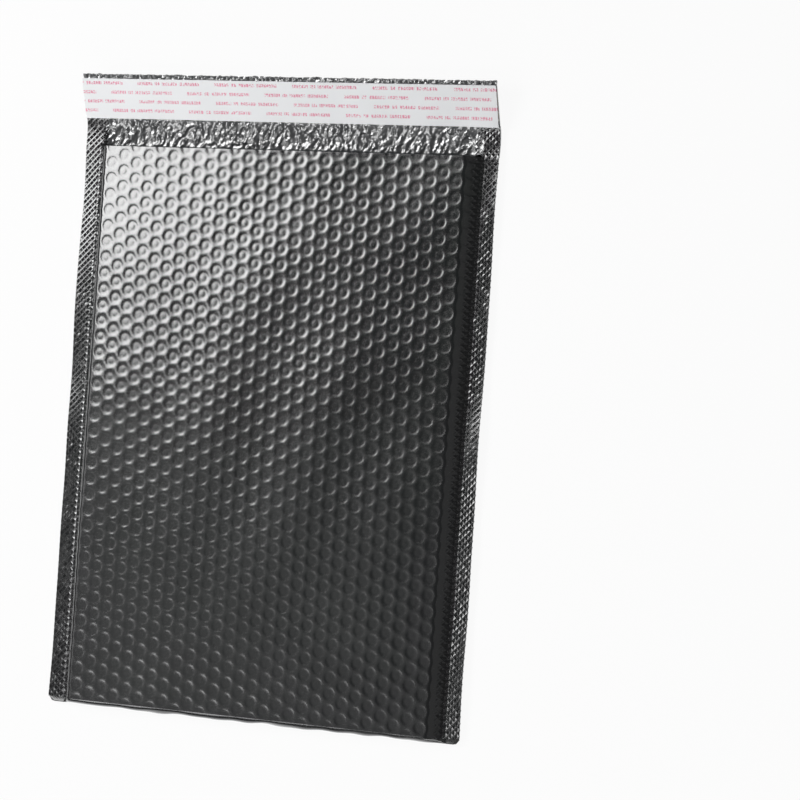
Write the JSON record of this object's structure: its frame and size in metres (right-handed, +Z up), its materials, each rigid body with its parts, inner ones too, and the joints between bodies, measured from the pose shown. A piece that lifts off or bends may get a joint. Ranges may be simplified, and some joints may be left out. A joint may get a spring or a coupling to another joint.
{
  "type": "bubble mailer",
  "caption": "Flat padded mailer of black bubble film, welded down both sides and open at the top, with a curling flap that carries a peel-and-seal strip under a white liner.",
  "frame": {"origin": "centre of the bounding box at its base, on the surface that the mailer lies on", "axes": "+Y along the mailer towards the flap, +Z up out of the front, +X across it"},
  "size_m": [0.28, 0.3868, 0.014],
  "materials": {
    "film": "satin",
    "adhesive": "tacky, slightly glossy",
    "liner": "smooth satin"
  },
  "bodies": {
    "root": {"padded_pouch": "film", "adhesive_strip": "adhesive", "release_liner": "liner"}
  },
  "joints": []
}
